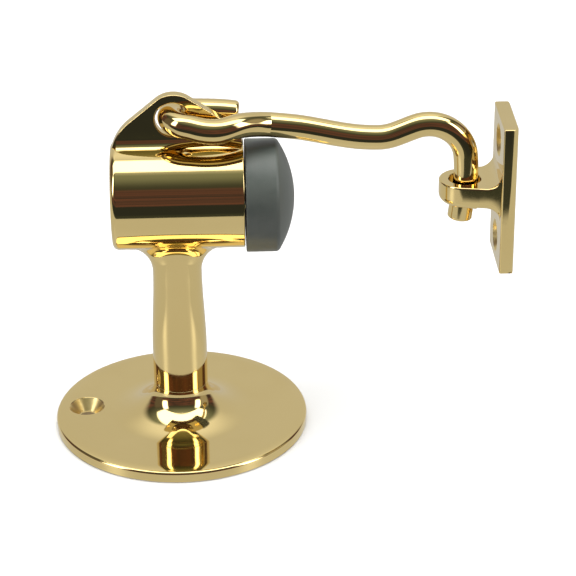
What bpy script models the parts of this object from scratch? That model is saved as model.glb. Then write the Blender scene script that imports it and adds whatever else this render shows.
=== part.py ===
"""Floor door holder: a brass stop on a round base, with a rubber bumper, and a hook that drops
into a keeper on the door. Metres, +Z up, origin at the centre of the base's underside, and the
door with its keeper on the +X side."""

from math import acos, asin, atan2, cos, hypot, pi, radians, sin, sqrt, tan

import bmesh
import bpy
from mathutils import Matrix, Vector

MM = 0.001
GAP = 0.3 * MM                      # clearance between pieces that touch
CUT_MARGIN = 1.0 * MM               # how far a cutter runs past the face that it cuts

# Base flange: a disc with a bell-shaped boss that the post stands on.
BASE_RADIUS = 38.1 * MM
BASE_THICKNESS = 3.6 * MM
BASE_EDGE = 0.6 * MM                # rounding of the disc's upper rim
BASE_CHAMFER = 0.3 * MM             # chamfer of its lower rim
BOSS_RADIUS = 8.2 * MM
BOSS_UPPER_CURVE = 7.0 * MM         # the boss flares out along two arcs that meet smoothly
BOSS_LOWER_CURVE = 18.0 * MM
BOSS_CURVE_CHANGE = radians(50)     # the flare's slope where one arc hands over to the other
BOSS_TOP = 13.2 * MM
NUT_RECESS_RADIUS = 10.4 * MM
NUT_RECESS_DEPTH = 5.2 * MM
FLOOR_SCREW_X = -29.0 * MM
FLOOR_SCREW_Y = 2.5 * MM
FLOOR_SCREW_HEAD_RADIUS = 5.3 * MM
FLOOR_SCREW_HOLE_RADIUS = 2.6 * MM
COUNTERSINK_HALF_ANGLE = radians(41)

# Stop body: one casting with the tapered post, the drum and the lug.
POST_FOOT_RADIUS = 8.15 * MM
POST_NECK_RADIUS = 7.25 * MM
POST_TAPER_BOTTOM = 25.0 * MM
POST_TAPER_TOP = 50.0 * MM
NECK_FILLET = 8.5 * MM
SPIGOT_RADIUS = 4.9 * MM
SPIGOT_END = 0.4 * MM
ANCHOR_HOLE_RADIUS = 3.0 * MM
ANCHOR_HOLE_DEPTH = 14.0 * MM
DRUM_RADIUS = 15.875 * MM
DRUM_AXIS_Z = 74.95 * MM
DRUM_LEFT = -18.3 * MM
DRUM_RIGHT = 20.15 * MM
DRUM_LEFT_EDGE = 1.8 * MM
DRUM_RIGHT_EDGE = 0.4 * MM
LUG_THICKNESS = 3.4 * MM
LUG_TOP = 106.4 * MM
LUG_CROWN_X = 0.3 * MM
LUG_CROWN_RADIUS = 8.1 * MM
LUG_LEFT_SLOPE = radians(39.5)
LUG_LEFT_SHOULDER = 15.0 * MM
LUG_RIGHT_SLOPE = radians(34)
LUG_RIGHT_SHOULDER = 10.0 * MM
LUG_HOLE_X = 0.0 * MM
LUG_HOLE_Z = 98.8 * MM
LUG_HOLE_RADIUS = 5.0 * MM

# Rubber bumper, moulded round the flat head of a steel stud. It sits a little below the
# drum's middle.
BUMPER_RADIUS = 16.55 * MM
BUMPER_BACK = 20.5 * MM
BUMPER_TIP = 34.8 * MM
BUMPER_DOME_RADIUS = 30.0 * MM
BUMPER_CORNER = 1.6 * MM
BUMPER_AXIS_Z = 74.1 * MM
STUD_RADIUS = 3.9 * MM
STUD_HEAD_RADIUS = 9.0 * MM
STUD_HEAD_START = 24.6 * MM
STUD_HEAD_THICKNESS = 2.0 * MM
STUD_END = 6.5 * MM
STUD_CHAMFER = 0.8 * MM
STUD_BORE_END = 5.0 * MM
DRILL_POINT = 2.0 * MM              # depth of the cone at the end of a drilled hole

# Lock nut and split lock washer in the base's recess.
LOCKNUT_ACROSS_FLATS = 14.0 * MM
LOCKNUT_THICKNESS = 3.0 * MM
LOCKWASHER_RADIUS = 8.4 * MM
LOCKWASHER_THICKNESS = 1.2 * MM
LOCKWASHER_SPLIT = 1.2 * MM
LOCKWASHER_SPLIT_TILT = radians(25)

# Hook: a round rod bent into an open loop, a wavy shank and a tip that points down.
# The bare tuples are in millimetres.
ROD_RADIUS = 3.6 * MM
PIVOT = Vector((-0.8, 0.0, 99.2)) * MM      # the rod's centre where it passes the lug
LOOP_RADIUS = 5.95 * MM
FRONT_BULGE = 1.2                   # the loop reaches further out in front of the lug
FREE_ARM = [(18.9, 5.95, 97.5), (15.5, 6.0, 98.0), (11.0, 6.0, 98.35)]
FRONT_ARM = [(7.6, -7.75, 98.0), (10.5, -8.0, 97.6), (13.5, -7.6, 97.45), (16.3, -6.45, 97.7),
             (18.9, -4.95, 97.9), (21.5, -3.2, 97.5), (24.4, -1.35, 96.85)]
BEND = Vector((27.4, 0.0, 96.2)) * MM       # sharp bend where the loop meets the shank
SHANK = [(32.0, 95.7), (37.0, 95.0), (42.5, 93.85), (48.0, 92.65), (53.5, 91.75)]
DIP = Vector((59.2, 0.0, 91.4)) * MM        # lowest point of the shank
DIP_RADIUS = 14.0 * MM
SHANK_RISE = radians(20)
CROWN = Vector((73.7, 0.0, 84.15)) * MM     # centre of the bend above the tip
CROWN_RADIUS = 11.1 * MM
TIP = [(84.95, 81.0), (84.9, 78.3), (84.5, 74.6), (83.95, 70.2), (83.35, 65.5)]

# Keeper: a plate for the door with an arm that ends in an eye.
PLATE_FRONT = 94.15 * MM
PLATE_BACK = 98.5 * MM
PLATE_HALF_WIDTH = 11.4 * MM
PLATE_BOTTOM = 52.0 * MM
PLATE_TOP = 97.4 * MM
PLATE_EDGE = 0.5 * MM
EYE_X = 84.65 * MM
EYE_HOLE_RADIUS = 4.7 * MM
EYE_RADIUS = 7.6 * MM
ARM_ROOT_HALF_WIDTH = 10.9 * MM
ARM_TOP = 78.0 * MM
ARM_BOTTOM = 71.0 * MM
ARM_FILLET_TOP = 4.2 * MM
ARM_FILLET_BOTTOM = 4.0 * MM
DOOR_SCREW_SPACING = 30.4 * MM
DOOR_SCREW_HEAD_RADIUS = 4.8 * MM
DOOR_SCREW_HOLE_RADIUS = 2.4 * MM

# Smoothness of the round shapes.
FINE = 96
MEDIUM = 64
COARSE = 32


def clear_scene():
    for old in list(bpy.data.objects):
        bpy.data.objects.remove(old, do_unlink=True)


def new_collection(name):
    group = bpy.data.collections.new(name)
    bpy.context.scene.collection.children.link(group)
    return group


def make_material(name, colour, metallic, roughness):
    material = bpy.data.materials.new(name)
    material.use_nodes = True
    shader = material.node_tree.nodes["Principled BSDF"]
    shader.inputs["Base Color"].default_value = (*colour, 1.0)
    shader.inputs["Metallic"].default_value = metallic
    shader.inputs["Roughness"].default_value = roughness
    material.diffuse_color = (*colour, 1.0)
    return material


def add_object(name, data, group):
    piece = bpy.data.objects.new(name, data)
    group.objects.link(piece)
    return piece


def arc(centre, radius, start, end, steps):
    """Points of a circular arc in a plane, from one angle to another."""
    angles = [start + (end - start) * i / steps for i in range(steps + 1)]
    return [(centre[0] + radius * cos(a), centre[1] + radius * sin(a)) for a in angles]


def turned(name, profile, group, steps, along_x=False, centre=(0.0, 0.0, 0.0)):
    """A turned shape: a profile of (radius, height) points, spun once by a Screw modifier.

    Along X the heights run from the drum's left to its right."""
    mesh = bpy.data.meshes.new(name)
    vertices = [(radius, 0.0, height) for radius, height in profile]
    edges = [(i, i + 1) for i in range(len(vertices) - 1)]
    if min(profile[0][0], profile[-1][0]) > 0:
        edges.append((len(vertices) - 1, 0))
    mesh.from_pydata(vertices, edges, [])
    piece = add_object(name, mesh, group)
    spin = piece.modifiers.new("Spin", "SCREW")
    spin.steps = steps
    spin.render_steps = steps
    spin.use_merge_vertices = True
    spin.merge_threshold = 1e-6
    if along_x:
        piece.rotation_euler = (0.0, pi / 2, 0.0)
    piece.location = centre
    return piece


def extruded(name, outline, thickness, group):
    """A flat outline of (x, y) points as a filled 2D curve, extruded about its own plane."""
    curve = bpy.data.curves.new(name, "CURVE")
    curve.dimensions = "2D"
    curve.fill_mode = "BOTH"
    curve.extrude = thickness / 2
    spline = curve.splines.new("POLY")
    spline.points.add(len(outline) - 1)
    for point, (x, y) in zip(spline.points, outline):
        point.co = (x, y, 0.0, 1.0)
    spline.use_cyclic_u = True
    return add_object(name, curve, group)


def to_mesh(piece):
    """Replace an object by a plain mesh of its evaluated shape, in world coordinates."""
    bpy.context.view_layer.update()
    evaluated = piece.evaluated_get(bpy.context.evaluated_depsgraph_get())
    mesh = bpy.data.meshes.new_from_object(evaluated)
    mesh.transform(piece.matrix_world)
    name = piece.name
    group = piece.users_collection[0]
    bpy.data.objects.remove(piece, do_unlink=True)
    work = bmesh.new()
    work.from_mesh(mesh)
    bmesh.ops.remove_doubles(work, verts=work.verts, dist=1e-6)
    bmesh.ops.recalc_face_normals(work, faces=work.faces)
    work.to_mesh(mesh)
    work.free()
    return add_object(name, mesh, group)


def combine(target, other, operation, cutters):
    """Join, cut or intersect the target with another object, which goes to the cutters."""
    modifier = target.modifiers.new(other.name, "BOOLEAN")
    modifier.operation = operation
    modifier.solver = "EXACT"
    modifier.object = other
    for group in list(other.users_collection):
        group.objects.unlink(other)
    cutters.objects.link(other)
    other.hide_render = True
    other.display_type = "WIRE"


def soften(piece, angle=radians(30)):
    """Smooth shading with the real edges kept sharp."""
    mesh = piece.data
    mesh.shade_smooth()
    mesh.set_sharp_from_angle(angle=angle)


def finish(piece, material, origin=(0.0, 0.0, 0.0)):
    """Apply the modifiers, give the material, and set the origin, for instance on a joint."""
    piece = to_mesh(piece)
    piece.data.materials.clear()
    piece.data.materials.append(material)
    piece.data.transform(Matrix.Translation(-Vector(origin)))
    piece.location = origin
    soften(piece)
    return piece


def countersunk_cutter(name, head_radius, hole_radius, depth, group):
    """A cutter for a countersunk screw hole, going down -Z from the face at its origin."""
    cone_depth = (head_radius - hole_radius) / tan(COUNTERSINK_HALF_ANGLE)
    profile = [
        (0.0, CUT_MARGIN),
        (head_radius, CUT_MARGIN),
        (head_radius, 0.0),
        (hole_radius, -cone_depth),
        (hole_radius, -depth - CUT_MARGIN),
        (0.0, -depth - CUT_MARGIN),
    ]
    return turned(name, profile, group, COARSE)


def build_base_flange(group, cutters, brass):
    growth = BOSS_LOWER_CURVE - BOSS_UPPER_CURVE
    upper = (BOSS_RADIUS + BOSS_UPPER_CURVE,
             BASE_THICKNESS + BOSS_LOWER_CURVE - growth * sin(BOSS_CURVE_CHANGE))
    lower = (upper[0] + growth * cos(BOSS_CURVE_CHANGE), BASE_THICKNESS + BOSS_LOWER_CURVE)
    rim_centre = (BASE_RADIUS - BASE_EDGE, BASE_THICKNESS - BASE_EDGE)
    bore = SPIGOT_RADIUS + GAP
    profile = [(bore, BOSS_TOP), (BOSS_RADIUS, BOSS_TOP)]
    profile += arc(upper, BOSS_UPPER_CURVE, pi, pi + BOSS_CURVE_CHANGE, 6)
    profile += arc(lower, BOSS_LOWER_CURVE, pi + BOSS_CURVE_CHANGE, 1.5 * pi, 6)[1:]
    profile += arc(rim_centre, BASE_EDGE, pi / 2, 0.0, 3)
    profile += [
        (BASE_RADIUS, BASE_CHAMFER),
        (BASE_RADIUS - BASE_CHAMFER, 0.0),
        (NUT_RECESS_RADIUS, 0.0),
        (NUT_RECESS_RADIUS, NUT_RECESS_DEPTH),
        (bore, NUT_RECESS_DEPTH),
    ]
    flange = to_mesh(turned("base_flange", profile, group, FINE))
    screw_hole = countersunk_cutter("floor_screw_cutter", FLOOR_SCREW_HEAD_RADIUS,
                                    FLOOR_SCREW_HOLE_RADIUS, BASE_THICKNESS, group)
    screw_hole.location = (FLOOR_SCREW_X, FLOOR_SCREW_Y, BASE_THICKNESS)
    combine(flange, screw_hole, "DIFFERENCE", cutters)
    return finish(flange, brass)


def neck_ring(turn):
    """The post's fillet against the drum, as a ring of points, at a share of its turn.

    A ball of the fillet's radius rolls round the post while it touches the drum. Each ring
    is on the arc between its two points of contact, from the post (0) to the drum (1)."""
    ring = []
    for i in range(MEDIUM):
        around = 2 * pi * i / MEDIUM
        outwards = Vector((cos(around), sin(around), 0.0))
        ball_radius = POST_NECK_RADIUS + NECK_FILLET
        drop = sqrt((DRUM_RADIUS + NECK_FILLET) ** 2 - (ball_radius * sin(around)) ** 2)
        ball = outwards * ball_radius + Vector((0.0, 0.0, DRUM_AXIS_Z - drop))
        to_post = -outwards
        to_drum = Vector((0.0, -ball.y, drop)).normalized()
        angle = to_post.angle(to_drum)
        across = (to_drum - to_post * cos(angle)).normalized()
        contact = to_post * cos(angle * turn) + across * sin(angle * turn)
        ring.append(ball + contact * NECK_FILLET)
    return ring


def round_ring(radius, height):
    angles = [2 * pi * i / MEDIUM for i in range(MEDIUM)]
    return [Vector((radius * cos(a), radius * sin(a), height)) for a in angles]


def build_post(group):
    """The spigot, the tapered post and its flared neck, as a circle extruded ring by ring."""
    foot = BOSS_TOP + GAP
    rings = [
        round_ring(SPIGOT_RADIUS - GAP, SPIGOT_END),
        round_ring(SPIGOT_RADIUS, SPIGOT_END + GAP),
        round_ring(SPIGOT_RADIUS, foot),
        round_ring(POST_FOOT_RADIUS, foot),
    ]
    taper_steps = 6
    for step in range(taper_steps + 1):
        share = step / taper_steps
        eased = share * share * (3 - 2 * share)
        radius = POST_FOOT_RADIUS + (POST_NECK_RADIUS - POST_FOOT_RADIUS) * eased
        height = POST_TAPER_BOTTOM + (POST_TAPER_TOP - POST_TAPER_BOTTOM) * share
        rings.append(round_ring(radius, height))
    neck_steps = 9
    overrun = 1.04                  # carries the last ring just inside the drum
    rings += [neck_ring(overrun * i / neck_steps) for i in range(neck_steps + 1)]
    rings.append(round_ring(POST_NECK_RADIUS, DRUM_AXIS_Z))

    work = bmesh.new()
    made = bmesh.ops.create_circle(work, segments=MEDIUM, radius=1.0, cap_ends=True)
    front = sorted(made["verts"], key=lambda v: atan2(v.co.y, v.co.x) % (2 * pi))
    for vertex, place in zip(front, rings[0]):
        vertex.co = place
    for ring in rings[1:]:
        edges = [work.edges.get((front[i - 1], front[i])) for i in range(MEDIUM)]
        grown = bmesh.ops.extrude_edge_only(work, edges=edges)["geom"]
        fresh = [v for v in grown if isinstance(v, bmesh.types.BMVert)]
        partners = []
        for old in front:
            partner = next(e.other_vert(old) for e in old.link_edges if e.other_vert(old) in fresh)
            partners.append(partner)
        for vertex, place in zip(partners, ring):
            vertex.co = place
        front = partners
    bmesh.ops.contextual_create(work, geom=front)
    bmesh.ops.recalc_face_normals(work, faces=work.faces)
    mesh = bpy.data.meshes.new("post")
    work.to_mesh(mesh)
    work.free()
    return add_object("post", mesh, group)


def drum_profile():
    """The drum's profile along X, from its right end to its left end."""
    right = (DRUM_RADIUS - DRUM_RIGHT_EDGE, DRUM_RIGHT - DRUM_RIGHT_EDGE)
    left = (DRUM_RADIUS - DRUM_LEFT_EDGE, DRUM_LEFT + DRUM_LEFT_EDGE)
    profile = [(0.0, DRUM_RIGHT)]
    profile += arc(right, DRUM_RIGHT_EDGE, pi / 2, 0.0, 3)
    profile += arc(left, DRUM_LEFT_EDGE, 0.0, -pi / 2, 6)
    profile += [(0.0, DRUM_LEFT)]
    return profile


def lug_side(reach, slope, shoulder_radius):
    """One side of the lug's arch, from its crown outwards: (distance from the crown, z)."""
    crown = (0.0, LUG_TOP - LUG_CROWN_RADIUS)
    slope_start = (LUG_CROWN_RADIUS * sin(slope), crown[1] + LUG_CROWN_RADIUS * cos(slope))
    shoulder_x = reach - shoulder_radius
    slope_end_x = shoulder_x + shoulder_radius * sin(slope)
    slope_end_z = slope_start[1] - (slope_end_x - slope_start[0]) * tan(slope)
    shoulder = (shoulder_x, slope_end_z - shoulder_radius * cos(slope))
    side = arc(crown, LUG_CROWN_RADIUS, pi / 2, pi / 2 - slope, 5)
    side += arc(shoulder, shoulder_radius, pi / 2 - slope, 0.0, 7)
    return side + [(reach, DRUM_AXIS_Z)]


def lug_outline():
    """The lug's arch in X and Z: a round crown, two straight slopes and two round shoulders."""
    left = lug_side(LUG_CROWN_X - DRUM_LEFT, LUG_LEFT_SLOPE, LUG_LEFT_SHOULDER)
    right = lug_side(DRUM_RIGHT - LUG_CROWN_X, LUG_RIGHT_SLOPE, LUG_RIGHT_SHOULDER)
    outline = [(LUG_CROWN_X - x, z) for x, z in reversed(left[1:])]
    return outline + [(LUG_CROWN_X + x, z) for x, z in right]


def build_stop_body(group, cutters, brass):
    body = to_mesh(turned("stop_body", drum_profile(), group, FINE, along_x=True,
                          centre=(0.0, 0.0, DRUM_AXIS_Z)))
    lug = extruded("lug", lug_outline(), LUG_THICKNESS, group)
    lug.rotation_euler = (pi / 2, 0.0, 0.0)
    combine(body, to_mesh(lug), "UNION", cutters)
    combine(body, build_post(group), "UNION", cutters)

    lug_hole = [(0.0, LUG_THICKNESS), (LUG_HOLE_RADIUS, LUG_THICKNESS),
                (LUG_HOLE_RADIUS, -LUG_THICKNESS), (0.0, -LUG_THICKNESS)]
    lug_cutter = turned("lug_hole_cutter", lug_hole, group, COARSE)
    lug_cutter.rotation_euler = (pi / 2, 0.0, 0.0)
    lug_cutter.location = (LUG_HOLE_X, 0.0, LUG_HOLE_Z)
    combine(body, lug_cutter, "DIFFERENCE", cutters)

    stud_bore = [(0.0, DRUM_RIGHT + CUT_MARGIN), (STUD_RADIUS + GAP, DRUM_RIGHT + CUT_MARGIN),
                 (STUD_RADIUS + GAP, STUD_BORE_END), (0.0, STUD_BORE_END - DRILL_POINT)]
    bore_cutter = turned("stud_bore_cutter", stud_bore, group, COARSE, along_x=True,
                         centre=(0.0, 0.0, BUMPER_AXIS_Z))
    combine(body, bore_cutter, "DIFFERENCE", cutters)

    anchor = [(0.0, ANCHOR_HOLE_DEPTH + DRILL_POINT), (ANCHOR_HOLE_RADIUS, ANCHOR_HOLE_DEPTH),
              (ANCHOR_HOLE_RADIUS, -CUT_MARGIN), (0.0, -CUT_MARGIN)]
    combine(body, turned("anchor_hole_cutter", anchor, group, COARSE), "DIFFERENCE", cutters)
    return finish(body, brass)


def build_bumper(group, rubber):
    """The bumper with the pocket that the stud's head is moulded into."""
    dome_centre = BUMPER_TIP - BUMPER_DOME_RADIUS
    corner_r = BUMPER_RADIUS - BUMPER_CORNER
    corner_x = dome_centre + sqrt((BUMPER_DOME_RADIUS - BUMPER_CORNER) ** 2 - corner_r ** 2)
    dome_angle = asin(corner_r / (BUMPER_DOME_RADIUS - BUMPER_CORNER))
    back_edge = 0.4 * MM
    profile = [(r, x) for x, r in arc((dome_centre, 0.0), BUMPER_DOME_RADIUS, 0.0, dome_angle, 9)]
    profile += arc((corner_r, corner_x), BUMPER_CORNER, pi / 2 - dome_angle, 0.0, 4)[1:]
    profile += [
        (BUMPER_RADIUS, BUMPER_BACK + back_edge),
        (BUMPER_RADIUS - back_edge, BUMPER_BACK),
        (STUD_RADIUS + GAP, BUMPER_BACK),
        (STUD_RADIUS + GAP, STUD_HEAD_START - GAP),
        (STUD_HEAD_RADIUS + GAP, STUD_HEAD_START - GAP),
        (STUD_HEAD_RADIUS + GAP, STUD_HEAD_START + STUD_HEAD_THICKNESS + GAP),
        (0.0, STUD_HEAD_START + STUD_HEAD_THICKNESS + GAP),
    ]
    profile[0] = (0.0, BUMPER_TIP)
    bumper = turned("bumper", profile, group, MEDIUM, along_x=True,
                    centre=(0.0, 0.0, BUMPER_AXIS_Z))
    return finish(bumper, rubber)


def build_bumper_stud(group, steel):
    head_end = STUD_HEAD_START + STUD_HEAD_THICKNESS
    profile = [
        (0.0, head_end),
        (STUD_HEAD_RADIUS, head_end),
        (STUD_HEAD_RADIUS, STUD_HEAD_START),
        (STUD_RADIUS, STUD_HEAD_START),
        (STUD_RADIUS, STUD_END + STUD_CHAMFER),
        (STUD_RADIUS - STUD_CHAMFER, STUD_END),
        (0.0, STUD_END),
    ]
    stud = turned("bumper_stud", profile, group, COARSE, along_x=True,
                  centre=(0.0, 0.0, BUMPER_AXIS_Z))
    return finish(stud, steel)


def flat_ring_profile(outer, inner, bottom, top):
    return [(inner, top), (outer, top), (outer, bottom), (inner, bottom)]


def build_base_lockwasher(group, cutters, steel):
    top = NUT_RECESS_DEPTH - GAP
    profile = flat_ring_profile(LOCKWASHER_RADIUS, SPIGOT_RADIUS + GAP,
                                top - LOCKWASHER_THICKNESS, top)
    washer = to_mesh(turned("base_lockwasher", profile, group, COARSE))
    bpy.ops.mesh.primitive_cube_add(size=1.0, location=(LOCKWASHER_RADIUS, 0.0, top),
                                    rotation=(LOCKWASHER_SPLIT_TILT, 0.0, 0.0))
    split = bpy.context.object
    split.name = "lockwasher_split_cutter"
    split.scale = (2 * LOCKWASHER_RADIUS, LOCKWASHER_SPLIT, 6 * LOCKWASHER_THICKNESS)
    combine(washer, split, "DIFFERENCE", cutters)
    return finish(washer, steel)


def build_base_locknut(group, cutters, steel):
    top = NUT_RECESS_DEPTH - LOCKWASHER_THICKNESS - 2 * GAP
    bpy.ops.mesh.primitive_cylinder_add(vertices=6, radius=LOCKNUT_ACROSS_FLATS / 2 / cos(pi / 6),
                                        depth=LOCKNUT_THICKNESS,
                                        location=(0.0, 0.0, top - LOCKNUT_THICKNESS / 2))
    nut = bpy.context.object
    nut.name = "base_locknut"
    for home in list(nut.users_collection):
        home.objects.unlink(nut)
    group.objects.link(nut)
    bore = [(0.0, top + CUT_MARGIN), (SPIGOT_RADIUS + GAP, top + CUT_MARGIN),
            (SPIGOT_RADIUS + GAP, -CUT_MARGIN), (0.0, -CUT_MARGIN)]
    combine(nut, turned("locknut_bore_cutter", bore, group, COARSE), "DIFFERENCE", cutters)
    return finish(nut, steel)


def smooth_path(waypoints, steps):
    """A Catmull-Rom curve through the waypoints, with some steps between each two."""
    ahead = 2 * waypoints[0] - waypoints[1]
    beyond = 2 * waypoints[-1] - waypoints[-2]
    padded = [ahead] + waypoints + [beyond]
    path = []
    for before, start, end, after in zip(padded, padded[1:], padded[2:], padded[3:]):
        for step in range(steps):
            t = step / steps
            path.append(0.5 * (2 * start + (end - before) * t
                               + (2 * before - 5 * start + 4 * end - after) * t ** 2
                               + (3 * start - before - 3 * end + after) * t ** 3))
    return path + [waypoints[-1]]


def hook_loop():
    """Waypoints from the rod's free end, behind the lug, round the loop to the bend."""
    centre_x = PIVOT.x + LOOP_RADIUS
    fall = (PIVOT.z - BEND.z) / (BEND.x - PIVOT.x)
    waypoints = [Vector(p) * MM for p in FREE_ARM]
    for x, y in arc((centre_x, 0.0), LOOP_RADIUS, pi / 2, 1.5 * pi, 8):
        if y < 0:
            y *= FRONT_BULGE
        waypoints.append(Vector((x, y, PIVOT.z - fall * (x - PIVOT.x))))
    waypoints += [Vector(p) * MM for p in FRONT_ARM]
    return waypoints + [BEND]


def hook_shank():
    """Waypoints from the bend along the wavy shank, over the crown and down to the tip."""
    waypoints = [BEND] + [Vector((x, 0.0, z)) * MM for x, z in SHANK]
    dip = (DIP.x, DIP.z + DIP_RADIUS)
    crown = (CROWN.x, CROWN.z)
    curves = arc(dip, DIP_RADIUS, -pi / 2, SHANK_RISE - pi / 2, 2)
    curves += arc(crown, CROWN_RADIUS, SHANK_RISE + pi / 2, 0.0, 8)
    waypoints += [Vector((x, 0.0, z)) for x, z in curves]
    return waypoints + [Vector((x, 0.0, z)) * MM for x, z in TIP]


def build_hook(group, brass):
    path = smooth_path(hook_loop(), 2)[:-1] + smooth_path(hook_shank(), 3)
    curve = bpy.data.curves.new("hook", "CURVE")
    curve.dimensions = "3D"
    curve.bevel_depth = ROD_RADIUS
    curve.bevel_resolution = 4
    curve.use_fill_caps = True
    spline = curve.splines.new("POLY")
    spline.points.add(len(path) - 1)
    for point, place in zip(spline.points, path):
        point.co = (*place, 1.0)
    hinge = (LUG_HOLE_X, 0.0, LUG_HOLE_Z)
    return finish(add_object("hook", curve, group), brass, origin=hinge)


def arm_plan():
    """The arm from above: a round eye, with sides that spread to the plate."""
    reach = PLATE_FRONT - EYE_X
    spread = atan2(ARM_ROOT_HALF_WIDTH, reach)
    tangent = spread + acos(EYE_RADIUS / hypot(reach, ARM_ROOT_HALF_WIDTH))
    inside = PLATE_FRONT + PLATE_EDGE
    outline = [(inside, ARM_ROOT_HALF_WIDTH)]
    outline += [(PLATE_FRONT, ARM_ROOT_HALF_WIDTH)]
    outline += arc((EYE_X, 0.0), EYE_RADIUS, tangent, 2 * pi - tangent, 20)
    outline += [(PLATE_FRONT, -ARM_ROOT_HALF_WIDTH), (inside, -ARM_ROOT_HALF_WIDTH)]
    return outline


def arm_side():
    """The arm from the side: a flat bar with a fillet above and below at the plate."""
    outer = EYE_X - 2 * EYE_RADIUS
    inside = PLATE_FRONT + PLATE_EDGE
    above = (PLATE_FRONT - ARM_FILLET_TOP, ARM_TOP + ARM_FILLET_TOP)
    below = (PLATE_FRONT - ARM_FILLET_BOTTOM, ARM_BOTTOM - ARM_FILLET_BOTTOM)
    outline = [(outer, ARM_BOTTOM)]
    outline += arc(below, ARM_FILLET_BOTTOM, pi / 2, 0.0, 6)
    outline += [(inside, below[1]), (inside, above[1])]
    outline += arc(above, ARM_FILLET_TOP, 0.0, -pi / 2, 6)
    outline += [(outer, ARM_TOP)]
    return outline


def build_keeper(group, cutters, brass):
    arm = extruded("keeper_arm", arm_side(), 4 * EYE_RADIUS, group)
    arm.rotation_euler = (pi / 2, 0.0, 0.0)
    arm = to_mesh(arm)
    plan = extruded("keeper_arm_plan", arm_plan(), 4 * EYE_RADIUS, group)
    plan.location.z = (ARM_TOP + ARM_BOTTOM) / 2
    combine(arm, to_mesh(plan), "INTERSECT", cutters)

    middle = (PLATE_TOP + PLATE_BOTTOM) / 2
    bpy.ops.mesh.primitive_cube_add(size=1.0, location=((PLATE_FRONT + PLATE_BACK) / 2, 0.0, middle))
    keeper = bpy.context.object
    keeper.name = "keeper"
    keeper.scale = (PLATE_BACK - PLATE_FRONT, 2 * PLATE_HALF_WIDTH, PLATE_TOP - PLATE_BOTTOM)
    bpy.ops.object.transform_apply(location=False, rotation=False, scale=True)
    for home in list(keeper.users_collection):
        home.objects.unlink(keeper)
    group.objects.link(keeper)
    edge = keeper.modifiers.new("Edges", "BEVEL")
    edge.width = PLATE_EDGE
    edge.segments = 2
    keeper = to_mesh(keeper)
    combine(keeper, to_mesh(arm), "UNION", cutters)

    eye = [(0.0, ARM_TOP + CUT_MARGIN), (EYE_HOLE_RADIUS, ARM_TOP + CUT_MARGIN),
           (EYE_HOLE_RADIUS, ARM_BOTTOM - CUT_MARGIN), (0.0, ARM_BOTTOM - CUT_MARGIN)]
    eye_cutter = turned("eye_cutter", eye, group, COARSE, centre=(EYE_X, 0.0, 0.0))
    combine(keeper, eye_cutter, "DIFFERENCE", cutters)
    for side, label in ((1, "upper"), (-1, "lower")):
        screw = countersunk_cutter(label + "_door_screw_cutter", DOOR_SCREW_HEAD_RADIUS,
                                   DOOR_SCREW_HOLE_RADIUS, PLATE_BACK - PLATE_FRONT, group)
        screw.rotation_euler = (0.0, -pi / 2, 0.0)
        screw.location = (PLATE_FRONT, 0.0, middle + side * DOOR_SCREW_SPACING / 2)
        combine(keeper, screw, "DIFFERENCE", cutters)
    return finish(keeper, brass, origin=(EYE_X, 0.0, ARM_TOP))


def main():
    clear_scene()
    group = new_collection("floor_door_holder")
    cutters = new_collection("cutters")
    brass = make_material("polished_brass", (0.83, 0.62, 0.25), 1.0, 0.12)
    rubber = make_material("grey_rubber", (0.12, 0.13, 0.125), 0.0, 0.55)
    steel = make_material("zinc_steel", (0.62, 0.62, 0.60), 1.0, 0.35)

    build_base_flange(group, cutters, brass)
    build_stop_body(group, cutters, brass)
    build_base_lockwasher(group, cutters, steel)
    build_base_locknut(group, cutters, steel)
    build_bumper(group, rubber)
    build_bumper_stud(group, steel)
    hook = build_hook(group, brass)
    keeper = build_keeper(group, cutters, brass)
    keeper.parent = hook
    keeper.matrix_parent_inverse = hook.matrix_world.inverted()
    cutters.hide_render = True


main()
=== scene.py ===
"""Looks for the floor door holder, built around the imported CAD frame. Metres, +Z up, the door
on the +X side and the camera on the -Y side. Sizes given in millimetres are multiplied by MM."""

from math import acos, asin, atan2, cos, pi, radians, sin, sqrt

import bmesh
import bpy
from mathutils import Matrix, Vector
from mathutils.bvhtree import BVHTree
from mathutils.geometry import barycentric_transform


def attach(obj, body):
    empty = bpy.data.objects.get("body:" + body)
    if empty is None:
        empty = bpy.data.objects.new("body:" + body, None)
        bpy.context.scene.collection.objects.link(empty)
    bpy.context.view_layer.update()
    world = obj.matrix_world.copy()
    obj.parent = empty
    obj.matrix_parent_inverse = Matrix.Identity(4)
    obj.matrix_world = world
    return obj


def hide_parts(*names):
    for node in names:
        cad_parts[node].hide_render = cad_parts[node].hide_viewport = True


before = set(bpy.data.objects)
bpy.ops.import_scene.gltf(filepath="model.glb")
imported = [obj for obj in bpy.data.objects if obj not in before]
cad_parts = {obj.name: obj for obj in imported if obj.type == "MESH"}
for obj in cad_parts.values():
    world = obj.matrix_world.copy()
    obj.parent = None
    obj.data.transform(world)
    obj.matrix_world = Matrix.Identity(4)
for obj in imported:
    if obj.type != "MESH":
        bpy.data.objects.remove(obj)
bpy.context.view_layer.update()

MM = 0.001
ROUND = 192                                 # facets round the large turned shapes
SHARP = radians(32)                         # edges steeper than this stay sharp
SAME_POINT = 0.0001 * MM                    # points closer than this are one point
TURNED_ROUGHNESS = 0.34                     # inside the countersinks, which are not polished
FLOOR_HALF = 6.0                            # half the width of the floor
WIDEST_EDGE = 5.0 * MM                      # the rounding of an edge whose bevel weight is 1
SLIVER = 0.002 * MM                         # faces thinner than this are closed up after a cut
LIP = 0.12 * MM                             # rounding at the seam between base and post
CONE_SLOPE = 0.869                          # the tangent of half of 82 degrees
HOLE_FLARE = 0.5 * MM                       # rounding at the mouths of the lug's hole and the eye

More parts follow.
